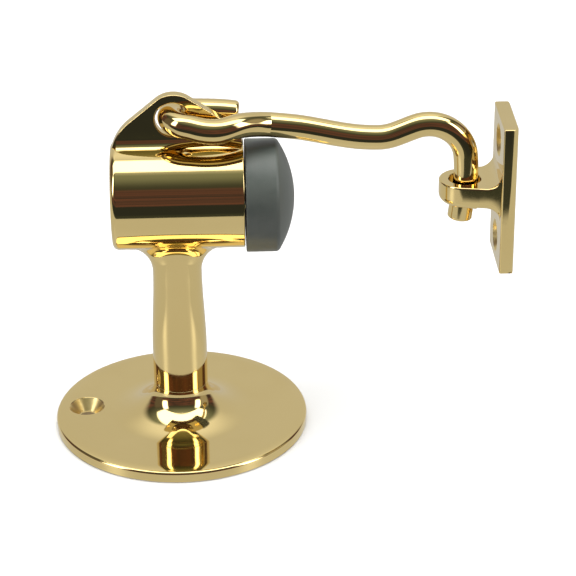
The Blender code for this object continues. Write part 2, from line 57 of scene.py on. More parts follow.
# Base flange.
BASE_RADIUS = 38.1 * MM
BASE_THICKNESS = 3.6 * MM
BASE_EDGE = 1.0 * MM
BASE_CROWN = 20.0 * MM                      # the top falls away a little near its rim,
BASE_FALL = radians(9)                      # by this much
BASE_CHAMFER = 0.3 * MM
BOSS_RADIUS = 8.15 * MM
BOSS_UPPER_CURVE = 7.0 * MM
BOSS_LOWER_CURVE = 18.0 * MM
BOSS_CURVE_CHANGE = radians(50)
BOSS_TOP = 13.44 * MM
BASE_BORE = 5.2 * MM
RECESS_RADIUS = 10.4 * MM
RECESS_DEPTH = 5.2 * MM
FLOOR_SCREW = Vector((-29.0, 2.5, 3.6)) * MM
FLOOR_SCREW_HEAD = 5.3 * MM                 # the radius of its countersink
FLOOR_SCREW_HOLE = 2.6 * MM

# Stop body.
POST_FOOT = 13.5 * MM
POST_FOOT_RADIUS = 8.15 * MM
POST_NECK_RADIUS = 7.25 * MM
POST_TAPER_BOTTOM = 25.0 * MM
POST_TAPER_TOP = 50.0 * MM
NECK_FILLET = 8.5 * MM
NECK_OVERRUN = 1.06                         # the neck's fillet runs on into the drum
SPIGOT_RADIUS = 4.9 * MM
SPIGOT_BOTTOM = 0.5 * MM
ANCHOR_RADIUS = 3.0 * MM
ANCHOR_DEPTH = 14.0 * MM
ANCHOR_POINT = 16.0 * MM
DRUM_RADIUS = 15.875 * MM
DRUM_AXIS_Z = 74.95 * MM
DRUM_LEFT = -18.3 * MM
DRUM_RIGHT = 20.15 * MM
DRUM_LEFT_EDGE = 1.8 * MM
DRUM_RIGHT_EDGE = 0.4 * MM
LUG_HALF = 1.7 * MM
LUG_EDGE = 0.35 * MM
LUG_SETBACK = 0.03 * MM                     # behind the drum's ends, so that no faces coincide
LUG_TOP = 106.4 * MM
LUG_CROWN_X = 0.3 * MM
LUG_CROWN_RADIUS = 8.1 * MM
LUG_HOLE = Vector((0.0, 0.0, 98.8)) * MM
LUG_HOLE_RADIUS = 5.0 * MM
LUG_FILLET = 3.2 * MM
LUG_FILLET_BITE = 0.006 * MM                # it cuts into lug and drum and doesn't just touch
BUMPER_AXIS_Z = 74.1 * MM
STUD_RADIUS = 4.2 * MM

# Bumper.
BUMPER_RADIUS = 16.55 * MM
BUMPER_CORNER = 1.5 * MM
BUMPER_DOME = 30.0 * MM
BUMPER_BACK = 20.5 * MM
BUMPER_BACK_EDGE = 0.4 * MM
BUMPER_TIP = 34.8 * MM
STUD_HEAD_RADIUS = 9.3 * MM
STUD_HEAD_BACK = 24.3 * MM
STUD_HEAD_FRONT = 26.9 * MM

# Hook.
ROD_RADIUS = 3.6 * MM
ROD_FACETS = 72
ROD_STEP = 0.4 * MM
ROD_START_EDGE = 1.1 * MM
ROD_TIP_EDGE = 0.7 * MM
PATH_ROUNDS = 12                            # how much the rod's path is evened out
PIVOT = Vector((-0.8, 0.0, 99.2)) * MM
LOOP_RADIUS = 5.95 * MM
FRONT_BULGE = 1.2                           # the loop reaches further out in front of the lug
FREE_ARM = [(18.9, 5.95, 97.5), (15.5, 6.0, 98.0), (11.0, 6.0, 98.35)]
FRONT_ARM = [(7.6, -7.75, 98.0), (10.5, -8.0, 97.6), (13.5, -7.6, 97.45), (16.3, -6.45, 97.7),
             (18.9, -4.95, 97.9), (21.5, -3.2, 97.5), (24.4, -1.35, 96.85)]
BEND = Vector((27.4, 0.0, 96.2)) * MM
SHANK = [(32.0, 95.7), (37.0, 95.0), (42.5, 93.85), (48.0, 92.65), (53.5, 91.75)]
DIP = (59.2 * MM, 105.4 * MM)
DIP_RADIUS = 14.0 * MM
SHANK_RISE = radians(20)
CROWN = (73.7 * MM, 84.15 * MM)
CROWN_RADIUS = 11.1 * MM
TIP = [(84.95, 81.0), (84.9, 78.3), (84.5, 74.6), (83.95, 70.2), (83.35, 65.5)]

# Keeper.
PLATE_FRONT = 94.15 * MM
PLATE_BACK = 98.5 * MM
PLATE_HALF_WIDTH = 11.4 * MM
PLATE_BOTTOM = 52.0 * MM
PLATE_TOP = 97.4 * MM
PLATE_EDGE = 0.5 * MM
PLATE_BACK_EDGE = 2.3 * MM                  # on the two long edges at the back
EYE_X = 84.65 * MM
EYE_HOLE_RADIUS = 4.7 * MM
EYE_RADIUS = 7.6 * MM
ARM_TOP = 78.0 * MM
ARM_BOTTOM = 71.0 * MM
ARM_ROOT = 9.3 * MM                         # half its width where it meets the plate
ARM_EDGE = 0.55 * MM
ARM_LOW_EDGE = 2.7 * MM
ARM_FILLET_TOP = 4.2 * MM
ARM_FILLET_BOTTOM = 4.0 * MM
DOOR_SCREW_SPACING = 30.4 * MM
DOOR_SCREW_HEIGHTS = [(PLATE_TOP + PLATE_BOTTOM + way * DOOR_SCREW_SPACING) / 2
                      for way in (1, -1)]
DOOR_SCREW_HEAD = 4.8 * MM                  # the radius of its countersink
DOOR_SCREW_HOLE = 2.4 * MM


# ---------------------------------------------------------------- meshes

def mesh_piece(name, vertices, faces):
    mesh = bpy.data.meshes.new(name)
    mesh.from_pydata([tuple(v) for v in vertices], [], faces)
    work = bmesh.new()
    work.from_mesh(mesh)
    bmesh.ops.remove_doubles(work, verts=work.verts, dist=SAME_POINT)
    bmesh.ops.recalc_face_normals(work, faces=work.faces)
    work.to_mesh(mesh)
    work.free()
    piece = bpy.data.objects.new(name, mesh)
    bpy.context.scene.collection.objects.link(piece)
    return piece


def arc(centre, radius, start, end, steps):
    angles = [start + (end - start) * i / steps for i in range(steps + 1)]
    return [(centre[0] + radius * cos(a), centre[1] + radius * sin(a)) for a in angles]


def skin(name, rings, closed=False):
    """A closed skin over rings of points. It ends in flat caps, or joins up if closed."""
    count = len(rings[0])
    vertices = [p for ring in rings for p in ring]
    faces = []
    last = len(rings) if closed else len(rings) - 1
    for i in range(last):
        a, b = i * count, (i + 1) % len(rings) * count
        for j in range(count):
            k = (j + 1) % count
            faces.append((a + j, a + k, b + k, b + j))
    if not closed:
        faces.append(tuple(range(count)))
        faces.append(tuple(range((len(rings) - 1) * count, len(rings) * count)))
    return mesh_piece(name, vertices, faces)


def turned(name, profile, place=Matrix(), segments=ROUND):
    """A turned shape about its own Z from (radius, height) points."""
    hollow = min(profile[0][0], profile[-1][0]) > 0
    rings = []
    for radius, height in profile:
        r = max(radius, 1e-9)               # points on the axis are merged afterwards
        rings.append([place @ Vector((r * cos(2 * pi * j / segments),
                                      r * sin(2 * pi * j / segments), height))
                      for j in range(segments)])
    return skin(name, rings, closed=hollow)


def along_x(z):
    """The place of a shape that is turned about a line along X at height z."""
    return Matrix.Translation((0.0, 0.0, z)) @ Matrix.Rotation(pi / 2, 4, "Y")


def evaluated_mesh(piece):
    bpy.context.view_layer.update()
    return bpy.data.meshes.new_from_object(piece.evaluated_get(
        bpy.context.evaluated_depsgraph_get()))


def shade(piece):
    """Smooth shading that stays true on flat faces, with the steep edges sharp."""
    piece.data.shade_smooth()
    piece.data.set_sharp_from_angle(angle=SHARP)
    weighted = piece.modifiers.new("Shading", "WEIGHTED_NORMAL")
    weighted.weight = 100
    weighted.keep_sharp = True
    piece.data = evaluated_mesh(piece)
    piece.modifiers.clear()
    return piece


def weld_slivers(mesh):
    """Close up the hair-thin faces that a cut leaves where two surfaces nearly touch."""
    work = bmesh.new()
    work.from_mesh(mesh)
    bmesh.ops.remove_doubles(work, verts=work.verts, dist=SLIVER)
    bmesh.ops.dissolve_degenerate(work, edges=work.edges, dist=SLIVER)
    work.to_mesh(mesh)
    work.free()
    mesh.validate()


def combine(target, steps):
    """Join or cut the shaded target with other shaded pieces, and carry their shading over."""
    sources = [(target.data.copy(), 1)]
    for tool, operation in steps:
        modifier = target.modifiers.new("Combine", "BOOLEAN")
        modifier.operation = operation
        modifier.solver = "EXACT"
        modifier.object = tool
        sources.append((tool.data, -1 if operation == "DIFFERENCE" else 1))
    target.data = evaluated_mesh(target)
    target.modifiers.clear()
    weld_slivers(target.data)
    for tool, _ in steps:
        bpy.data.objects.remove(tool)
    carry_shading(target.data, sources)
    return target


def carry_shading(mesh, sources):
    """Give each corner of a combined mesh the shading of the surface that it came from."""
    points, triangles, shades = [], [], []
    for source, sign in sources:
        source.calc_loop_triangles()
        normals = [sign * n.vector for n in source.corner_normals]
        start = len(points)
        points += [v.co.copy() for v in source.vertices]
        for t in source.loop_triangles:
            triangles.append([start + v for v in t.vertices])
            shades.append([normals[c] for c in t.loops])
    tree = BVHTree.FromPolygons(points, triangles)
    work = bmesh.new()
    work.from_mesh(mesh)
    bmesh.ops.remove_doubles(work, verts=work.verts, dist=SAME_POINT)
    bmesh.ops.triangulate(work, faces=work.faces)
    work.to_mesh(mesh)
    work.free()
    mesh.shade_smooth()
    normals = []
    for polygon in mesh.polygons:
        flat = polygon.normal
        index = tree.find_nearest(polygon.center)[2]
        corners = [points[v] for v in triangles[index]]
        for v in polygon.vertices:
            n = barycentric_transform(mesh.vertices[v].co, *corners, *shades[index])
            n = n.normalized() if n.length > 0.1 else flat
            normals.append(n if n.dot(flat) > 0.7 else flat)     # a wrong neighbour's is dropped
    mesh.normals_split_custom_set(normals)


def prism(name, outline, low, high, axis, edge=0.0, low_edge=None, steps=8):
    """A flat outline extruded from low to high along an axis, with its rim rounded by edge.

    The outline's two coordinates are the other two axes, in X, Y, Z order."""
    count = len(outline)
    outwards = []
    for i in range(count):
        ahead = Vector(outline[(i + 1) % count]) - Vector(outline[i])
        behind = Vector(outline[i]) - Vector(outline[i - 1])
        along = (ahead.normalized() + behind.normalized()).normalized()
        outwards.append(Vector((along.y, -along.x)))
    area = sum(outline[i - 1][0] * outline[i][1] - outline[i][0] * outline[i - 1][1]
               for i in range(count))
    sign = 1 if area > 0 else -1

    def ring(level, inset):
        placed = []
        for (u, v), out in zip(outline, outwards):
            u, v = u - sign * out.x * inset, v - sign * out.y * inset
            placed.append(Vector({"X": (level, u, v), "Y": (u, level, v),
                                  "Z": (u, v, level)}[axis]))
        return placed

    if edge:
        low_edge = low_edge or edge
        turns = [pi / 2 * i / steps for i in range(steps + 1)]
        rings = [ring(low + low_edge * (1 - sin(t)), low_edge * (1 - cos(t)))
                 for t in reversed(turns)]
        rings += [ring(high - edge * (1 - sin(t)), edge * (1 - cos(t))) for t in turns]
    else:
        rings = [ring(low, 0.0), ring(high, 0.0)]
    return skin(name, rings)


def countersink(name, head_radius, hole_radius, depth, place):
    """The tool for a screw hole down its own Z, with an 82 degree cone and a softened rim."""
    cone = (head_radius - hole_radius) / CONE_SLOPE
    soft = 0.12 * MM
    profile = [(0.0, MM), (head_radius + soft, MM), (head_radius + soft, 0.0)]
    profile += [(head_radius, -0.6 * soft), (hole_radius, -cone),
                (hole_radius, -depth - MM), (0.0, -depth - MM)]
    return shade(turned(name, profile, place, 64))


# ---------------------------------------------------------------- base and stop body

def build_base():
    growth = BOSS_LOWER_CURVE - BOSS_UPPER_CURVE
    upper = (BOSS_RADIUS + BOSS_UPPER_CURVE,
             BASE_THICKNESS + BOSS_LOWER_CURVE - growth * sin(BOSS_CURVE_CHANGE))
    lower = (upper[0] + growth * cos(BOSS_CURVE_CHANGE), BASE_THICKNESS + BOSS_LOWER_CURVE)
    crown = (BASE_RADIUS - BASE_EDGE - (BASE_CROWN - BASE_EDGE) * sin(BASE_FALL),
             BASE_THICKNESS - BASE_CROWN)
    rim = (BASE_RADIUS - BASE_EDGE, crown[1] + (BASE_CROWN - BASE_EDGE) * cos(BASE_FALL))
    profile = [(BASE_BORE, BOSS_TOP), (BOSS_RADIUS - LIP, BOSS_TOP)]
    profile += arc((BOSS_RADIUS - LIP, BOSS_TOP - LIP), LIP, pi / 2, 0.0, 3)[1:]
    profile += arc(upper, BOSS_UPPER_CURVE, pi, pi + BOSS_CURVE_CHANGE, 28)
    profile += arc(lower, BOSS_LOWER_CURVE, pi + BOSS_CURVE_CHANGE, 1.5 * pi, 28)[1:]
    profile += arc(crown, BASE_CROWN, pi / 2, pi / 2 - BASE_FALL, 10)
    profile += arc(rim, BASE_EDGE, pi / 2 - BASE_FALL, 0.0, 10)[1:]
    profile += [(BASE_RADIUS, BASE_CHAMFER), (BASE_RADIUS - BASE_CHAMFER, 0.0),
                (RECESS_RADIUS, 0.0), (RECESS_RADIUS, RECESS_DEPTH), (BASE_BORE, RECESS_DEPTH)]
    base = shade(turned("base_plate", profile, segments=256))
    hole = countersink("screw_hole", FLOOR_SCREW_HEAD, FLOOR_SCREW_HOLE, BASE_THICKNESS,
                       Matrix.Translation(FLOOR_SCREW))
    return combine(base, [(hole, "DIFFERENCE")])


def neck_ring(turn):
    """The post's fillet against the drum: where a ball that rolls round the post touches both."""
    ring = []
    for j in range(ROUND):
        around = 2 * pi * j / ROUND
        outwards = Vector((cos(around), sin(around), 0.0))
        reach = POST_NECK_RADIUS + NECK_FILLET
        drop = sqrt((DRUM_RADIUS + NECK_FILLET) ** 2 - (reach * sin(around)) ** 2)
        ball = outwards * reach + Vector((0.0, 0.0, DRUM_AXIS_Z - drop))
        to_drum = Vector((0.0, -ball.y, drop)).normalized()
        angle = (-outwards).angle(to_drum)
        across = (to_drum + outwards * cos(angle)).normalized()
        ring.append(ball + (across * sin(angle * turn) - outwards * cos(angle * turn))
                    * NECK_FILLET)
    return ring


def round_ring(radius, height):
    return [Vector((radius * cos(2 * pi * j / ROUND), radius * sin(2 * pi * j / ROUND), height))
            for j in range(ROUND)]


def build_post():
    rings = [round_ring(SPIGOT_RADIUS, SPIGOT_BOTTOM), round_ring(SPIGOT_RADIUS, POST_FOOT),
             round_ring(POST_FOOT_RADIUS - LIP, POST_FOOT),
             round_ring(POST_FOOT_RADIUS - 0.3 * LIP, POST_FOOT + 0.3 * LIP),
             round_ring(POST_FOOT_RADIUS, POST_FOOT + LIP)]
    for step in range(25):
        share = step / 24
        eased = share * share * (3 - 2 * share)
        radius = POST_FOOT_RADIUS + (POST_NECK_RADIUS - POST_FOOT_RADIUS) * eased
        rings.append(round_ring(radius, POST_TAPER_BOTTOM
                                + (POST_TAPER_TOP - POST_TAPER_BOTTOM) * share))
    rings += [neck_ring(NECK_OVERRUN * i / 30) for i in range(31)]
    rings.append(round_ring(POST_NECK_RADIUS, DRUM_AXIS_Z))
    return shade(skin("post", rings))


def lug_side(reach, slope, shoulder_radius):
    """One side of the lug's outline, from its crown down a straight slope and a shoulder."""
    crown = (0.0, LUG_TOP - LUG_CROWN_RADIUS)
    start = (LUG_CROWN_RADIUS * sin(slope), crown[1] + LUG_CROWN_RADIUS * cos(slope))
    middle = reach - shoulder_radius
    end_x = middle + shoulder_radius * sin(slope)
    end_z = start[1] - (end_x - start[0]) * sin(slope) / cos(slope)
    side = arc(crown, LUG_CROWN_RADIUS, pi / 2, pi / 2 - slope, 20)
    side += arc((middle, end_z - shoulder_radius * cos(slope)), shoulder_radius,
                pi / 2 - slope, 0.0, 30)
    return side + [(reach, DRUM_AXIS_Z + 4 * MM)]


def build_lug():
    left = lug_side(LUG_CROWN_X - DRUM_LEFT - LUG_SETBACK, radians(39.5), 15.0 * MM)
    right = lug_side(DRUM_RIGHT - LUG_CROWN_X - LUG_SETBACK, radians(34), 10.0 * MM)
    outline = [(LUG_CROWN_X - x, z) for x, z in reversed(left[1:])]
    outline += [(LUG_CROWN_X + x, z) for x, z in right]
    return shade(prism("lug", outline, -LUG_HALF, LUG_HALF, "Y", LUG_EDGE))


def build_lug_fillet(side):
    """The small fillet between one side of the lug and the drum."""
    inside_lug = LUG_HALF - 0.5 * MM
    y = LUG_HALF + LUG_FILLET - LUG_FILLET_BITE
    z = sqrt((DRUM_RADIUS + LUG_FILLET - LUG_FILLET_BITE) ** 2 - y * y)
    curve = arc((y, DRUM_AXIS_Z + z), LUG_FILLET, -pi, atan2(-z, -y), 24)
    inner = Vector((y, z)).normalized() * (DRUM_RADIUS - MM)
    outline = [(inside_lug, DRUM_AXIS_Z + z)] + curve
    outline += [(inner.x, DRUM_AXIS_Z + inner.y), (inside_lug, DRUM_AXIS_Z + inner.y)]
    outline = [(side * u, v) for u, v in outline]
    end_gap = 0.1 * MM
    return shade(prism("lug_fillet", outline, DRUM_LEFT + DRUM_LEFT_EDGE + end_gap,
                       DRUM_RIGHT - DRUM_RIGHT_EDGE - end_gap, "X"))


def mouths(hole_radius, half_length, overrun):
    """The profile of a tool that cuts a hole with a rounded mouth at both ends."""
    wide = hole_radius + HOLE_FLARE
    profile = [(0.0, half_length + overrun), (wide, half_length + overrun)]
    profile += arc((wide, half_length - HOLE_FLARE), HOLE_FLARE, pi / 2, pi, 6)
    return profile + [(x, -y) for x, y in reversed(profile)]


def build_stop():
    right = (DRUM_RADIUS - DRUM_RIGHT_EDGE, DRUM_RIGHT - DRUM_RIGHT_EDGE)
    left = (DRUM_RADIUS - DRUM_LEFT_EDGE, DRUM_LEFT + DRUM_LEFT_EDGE)
    profile = [(0.0, DRUM_RIGHT)] + arc(right, DRUM_RIGHT_EDGE, pi / 2, 0.0, 6)
    profile += arc(left, DRUM_LEFT_EDGE, 0.0, -pi / 2, 14) + [(0.0, DRUM_LEFT)]
    drum = shade(turned("stop_casting", profile, along_x(DRUM_AXIS_Z), 256))
    hole = shade(turned("lug_hole", mouths(LUG_HOLE_RADIUS, LUG_HALF, LUG_HALF),
                        Matrix.Translation(LUG_HOLE) @ Matrix.Rotation(pi / 2, 4, "X"), 96))
    open_end = DRUM_RIGHT + 1.85 * MM
    stud = shade(turned("stud_bore", [(0.0, open_end), (STUD_RADIUS, open_end),
                                      (STUD_RADIUS, 5 * MM), (0.0, 3 * MM)],
                        along_x(BUMPER_AXIS_Z), 64))
    anchor = shade(turned("anchor_bore", [(0.0, ANCHOR_POINT), (ANCHOR_RADIUS, ANCHOR_DEPTH),
                                          (ANCHOR_RADIUS, -MM), (0.0, -MM)], segments=64))
    return combine(drum, [(build_post(), "UNION"), (build_lug(), "UNION"),
                          (build_lug_fillet(1), "UNION"), (build_lug_fillet(-1), "UNION"),
                          (hole, "DIFFERENCE"), (stud, "DIFFERENCE"), (anchor, "DIFFERENCE")])


def build_bumper():
    """The rubber, with the hollow for the stud's head inside it."""
    centre = BUMPER_TIP - BUMPER_DOME
    corner_r = BUMPER_RADIUS - BUMPER_CORNER
    to_corner = BUMPER_DOME - BUMPER_CORNER
    corner_x = centre + sqrt(to_corner ** 2 - corner_r ** 2)
    angle = asin(corner_r / to_corner)
    back_edge = (BUMPER_RADIUS - BUMPER_BACK_EDGE, BUMPER_BACK + BUMPER_BACK_EDGE)
    profile = [(r, x) for x, r in arc((centre, 0.0), BUMPER_DOME, 0.0, angle, 24)]
    profile[0] = (0.0, BUMPER_TIP)
    profile += arc((corner_r, corner_x), BUMPER_CORNER, pi / 2 - angle, 0.0, 8)[1:]
    profile += arc(back_edge, BUMPER_BACK_EDGE, 0.0, -pi / 2, 4)
    profile += [(STUD_RADIUS, BUMPER_BACK), (STUD_RADIUS, STUD_HEAD_BACK),
                (STUD_HEAD_RADIUS, STUD_HEAD_BACK), (STUD_HEAD_RADIUS, STUD_HEAD_FRONT),
                (0.0, STUD_HEAD_FRONT)]
    return shade(turned("rubber_bumper", profile, along_x(BUMPER_AXIS_Z)))


# ---------------------------------------------------------------- hook

def smooth_path(waypoints, spacing):
    """Points at an even spacing on a Catmull-Rom curve through the waypoints."""
    padded = [2 * waypoints[0] - waypoints[1]] + waypoints + [2 * waypoints[-1] - waypoints[-2]]
    dense = []
    for before, start, end, after in zip(padded, padded[1:], padded[2:], padded[3:]):
        for step in range(40):
            t = step / 40
            dense.append(0.5 * (2 * start + (end - before) * t
                                + (2 * before - 5 * start + 4 * end - after) * t ** 2
                                + (3 * start - before - 3 * end + after) * t ** 3))
    dense.append(waypoints[-1])
    length = sum((b - a).length for a, b in zip(dense, dense[1:]))
    count = round(length / spacing)
    path, walked, target = [dense[0]], 0.0, length / count
    for a, b in zip(dense, dense[1:]):
        step = (b - a).length
        while walked + step >= target and len(path) < count:
            path.append(a.lerp(b, (target - walked) / step))
            target += length / count
        walked += step
    return path + [dense[-1]]


def relaxed(path, rounds):
    """The path with its small wiggles evened out. Its ends stay."""
    for _ in range(rounds):
        path = [path[0]] + [0.25 * a + 0.5 * b + 0.25 * c
                            for a, b, c in zip(path, path[1:], path[2:])] + [path[-1]]
    return path


def loop_path():
    """The free arm, the open loop round the lug's edge and the arm in front, as far as the bend."""
    centre_x = PIVOT.x + LOOP_RADIUS
    fall = (PIVOT.z - BEND.z) / (BEND.x - PIVOT.x)
    points = [Vector(p) * MM for p in FREE_ARM]
    for x, y in arc((centre_x, 0.0), LOOP_RADIUS, pi / 2, 1.5 * pi, 8):
        if y < 0:
            y *= FRONT_BULGE
        points.append(Vector((x, y, PIVOT.z - fall * (x - PIVOT.x))))
    points += [Vector(p) * MM for p in FRONT_ARM] + [BEND]
    return relaxed(smooth_path(points, ROD_STEP), PATH_ROUNDS)


def shank_path():
    """The wavy shank from the bend through its dip and its crown, and the tip."""
    points = [BEND] + [Vector((x, 0.0, z)) * MM for x, z in SHANK]
    curves = arc(DIP, DIP_RADIUS, -pi / 2, SHANK_RISE - pi / 2, 2)
    curves += arc(CROWN, CROWN_RADIUS, SHANK_RISE + pi / 2, 0.0, 8)
    points += [Vector((x, 0.0, z)) for x, z in curves]
    points += [Vector((x, 0.0, z)) * MM for x, z in TIP]
    return relaxed(smooth_path(points, ROD_STEP), PATH_ROUNDS)


def rod_ring(point, side, other, radius):
    turns = [2 * pi * j / ROD_FACETS for j in range(ROD_FACETS)]
    return [point + radius * (side * cos(a) + other * sin(a)) for a in turns]


def rod_end(point, side, other, outwards, edge):
    """The rings of a flat end with a rounded edge, working outwards."""
    turns = [pi / 2 * i / 8 for i in range(9)]
    return [rod_ring(point - outwards * edge * (1 - sin(t)), side, other,
                     ROD_RADIUS - edge * (1 - cos(t))) for t in turns]


def build_hook():
    path = loop_path()[:-1] + shank_path()
    steps = [(b - a).normalized() for a, b in zip(path, path[1:])]
    tangents = [steps[0]] + [(a + b).normalized() for a, b in zip(steps, steps[1:])] + [steps[-1]]
    side = tangents[0].orthogonal().normalized()
    stations = []
    for point, along in zip(path, tangents):
        side = (side - along * side.dot(along)).normalized()
        stations.append((point, side, along.cross(side)))
    skip_start, skip_end = int(ROD_START_EDGE / ROD_STEP) + 1, int(ROD_TIP_EDGE / ROD_STEP) + 1
    rings = list(reversed(rod_end(*stations[0], -tangents[0], ROD_START_EDGE)))
    rings += [rod_ring(*station, ROD_RADIUS) for station in stations[skip_start:-skip_end]]
    rings += rod_end(*stations[-1], tangents[-1], ROD_TIP_EDGE)
    return shade(skin("hook_rod", rings))


# ---------------------------------------------------------------- keeper

def soften_edges(piece, width_of):
    """Round a piece's sharp edges, each by its own width from its two ends, and shade it."""
    work = bmesh.new()
    work.from_mesh(piece.data)
    bmesh.ops.dissolve_limit(work, angle_limit=radians(0.5), verts=work.verts, edges=work.edges)
    weight = work.edges.layers.float.new("bevel_weight_edge")
    for edge in work.edges:
        if edge.calc_face_angle() > SHARP:
            edge[weight] = width_of(*(v.co for v in edge.verts)) / WIDEST_EDGE
    work.to_mesh(piece.data)
    work.free()
    bevel = piece.modifiers.new("Edges", "BEVEL")
    bevel.width = WIDEST_EDGE
    bevel.segments = 8
    bevel.limit_method = "WEIGHT"
    bevel.use_clamp_overlap = False
    piece.data = evaluated_mesh(piece)
    piece.modifiers.clear()
    return shade(piece)


def arm_taper():
    """Where the arm's straight side leaves the round eye, as an angle, and the side's slope."""
    reach = PLATE_FRONT - EYE_X
    tangent = atan2(ARM_ROOT, reach) + acos(EYE_RADIUS / sqrt(reach ** 2 + ARM_ROOT ** 2))
    return tangent, tangent - pi / 2


def build_arm():
    """The arm's round nose. It runs on into the root."""
    tangent, slope = arm_taper()
    nose = arc((EYE_X, 0.0), EYE_RADIUS, tangent, 2 * pi - tangent, 80)
    end = EYE_X + 3.5 * MM
    half = nose[0][1] + (end - nose[0][0]) * sin(slope) / cos(slope)
    plan = [(end, half)] + nose + [(end, -half)]
    return shade(prism("keeper_arm", plan, ARM_BOTTOM, ARM_TOP, "Z", ARM_EDGE, ARM_LOW_EDGE))


def build_root():
    """The arm from its eye to the plate, with its fillets, as rounded sections across it."""
    inset = 0.02 * MM                       # inside the nose, so that no faces coincide
    tangent, slope = arm_taper()
    start = EYE_X + EYE_RADIUS * cos(tangent) + 0.2 * MM
    stations = [start + (PLATE_FRONT - start) * i / 40 for i in range(41)]
    rings = []
    for x in stations + [PLATE_FRONT + 1.0 * MM]:
        depth = min(x, PLATE_FRONT) - PLATE_FRONT
        below = max(0.0, depth + ARM_FILLET_BOTTOM)
        above = max(0.0, depth + ARM_FILLET_TOP)
        low = ARM_BOTTOM + inset - ARM_FILLET_BOTTOM + sqrt(ARM_FILLET_BOTTOM ** 2 - below ** 2)
        high = ARM_TOP - inset + ARM_FILLET_TOP - sqrt(ARM_FILLET_TOP ** 2 - above ** 2)
        half = ARM_ROOT + depth * sin(slope) / cos(slope) - inset
        ring = []
        for side, middle_z, radius, turn in ((1, high - ARM_EDGE, ARM_EDGE, 0.0),
                                             (-1, high - ARM_EDGE, ARM_EDGE, pi / 2),
                                             (-1, low + ARM_LOW_EDGE, ARM_LOW_EDGE, pi),
                                             (1, low + ARM_LOW_EDGE, ARM_LOW_EDGE, 1.5 * pi)):
            across = radius / cos(slope)
            ring += [Vector((x, side * (half - across) + across * y, middle_z + radius * z))
                     for y, z in arc((0.0, 0.0), 1.0, turn, turn + pi / 2, 8)]
        rings.append(ring)
    return shade(skin("keeper_root", rings))


def plate_edge(a, b):
    """How wide the edge from a to b is rounded: the two long edges at the back are wider."""
    at_back = min(a.x, b.x) > PLATE_BACK - 0.05 * MM
    upright = abs(a.z - b.z) > PLATE_TOP - PLATE_BOTTOM - MM
    return PLATE_BACK_EDGE if at_back and upright else PLATE_EDGE


def build_keeper():
    w = PLATE_HALF_WIDTH
    plate = mesh_piece("keeper_casting",
                       [(x, y, z) for x in (PLATE_FRONT, PLATE_BACK) for y in (-w, w)
                        for z in (PLATE_BOTTOM, PLATE_TOP)],
                       [(0, 1, 3, 2), (4, 6, 7, 5), (0, 4, 5, 1), (2, 3, 7, 6), (1, 5, 7, 3),
                        (0, 2, 6, 4)])
    soften_edges(plate, plate_edge)
    middle = (ARM_TOP + ARM_BOTTOM) / 2
    eye = shade(turned("eye", mouths(EYE_HOLE_RADIUS, ARM_TOP - middle, MM),
                       Matrix.Translation((EYE_X, 0.0, middle)), 96))
    tools = [(build_arm(), "UNION"), (build_root(), "UNION"), (eye, "DIFFERENCE")]
    for height in DOOR_SCREW_HEIGHTS:
        place = Matrix.Translation((PLATE_FRONT, 0.0, height)) @ Matrix.Rotation(-pi / 2, 4, "Y")
        tools.append((countersink("door_screw", DOOR_SCREW_HEAD, DOOR_SCREW_HOLE,
                                  PLATE_BACK - PLATE_FRONT, place), "DIFFERENCE"))
    return combine(plate, tools)


# ---------------------------------------------------------------- materials

class Nodes:
    """A short way to write node trees: each call adds a node and returns its main output."""

    def __init__(self, tree):
        self.tree = tree

    def add(self, kind, output=0, **inputs):
        node = self.tree.nodes.new(kind)
        for key, value in inputs.items():
            if key.startswith("set_"):
                setattr(node, key[4:], value)
        for key, value in inputs.items():
            if not key.startswith("set_"):
                socket = node.inputs[int(key[1:])] if key[1:].isdigit() else node.inputs[
                    key.replace("_", " ")]
                self.feed(socket, value)
        return node.outputs[output]

    def feed(self, socket, value):
        if isinstance(value, bpy.types.NodeSocket):
            self.tree.links.new(value, socket)
        else:
            socket.default_value = value

    def math(self, operation, a, b=0.0, c=0.0):
        return self.add("ShaderNodeMath", set_operation=operation, i0=a, i1=b, i2=c)

    def step(self, value, low, high):
        """0 below low, 1 above high, and smooth between."""
        return self.add("ShaderNodeMapRange", set_interpolation_type="SMOOTHSTEP",
                        Value=value, From_Min=low, From_Max=high)

    def band(self, value, low, high, soft):
        return self.math("MULTIPLY", self.step(value, low - soft, low + soft),
                         self.math("SUBTRACT", 1.0, self.step(value, high - soft, high + soft)))

    def split(self, vector):
        """The vector's X, Y and Z."""
        node = self.tree.nodes.new("ShaderNodeSeparateXYZ")
        self.feed(node.inputs[0], vector)
        return tuple(node.outputs)

    def mix(self, factor, a, b):
        node = self.tree.nodes.new("ShaderNodeMix")
        node.data_type = "RGBA"
        self.feed(node.inputs[0], factor)
        self.feed(node.inputs[6], a if isinstance(a, bpy.types.NodeSocket) else (*a, 1.0))
        self.feed(node.inputs[7], b if isinstance(b, bpy.types.NodeSocket) else (*b, 1.0))
        return node.outputs[2]


def new_material(name):
    material = bpy.data.materials.new(name)
    material.use_nodes = True
    shader = material.node_tree.nodes["Principled BSDF"]
    return material, shader, Nodes(material.node_tree)


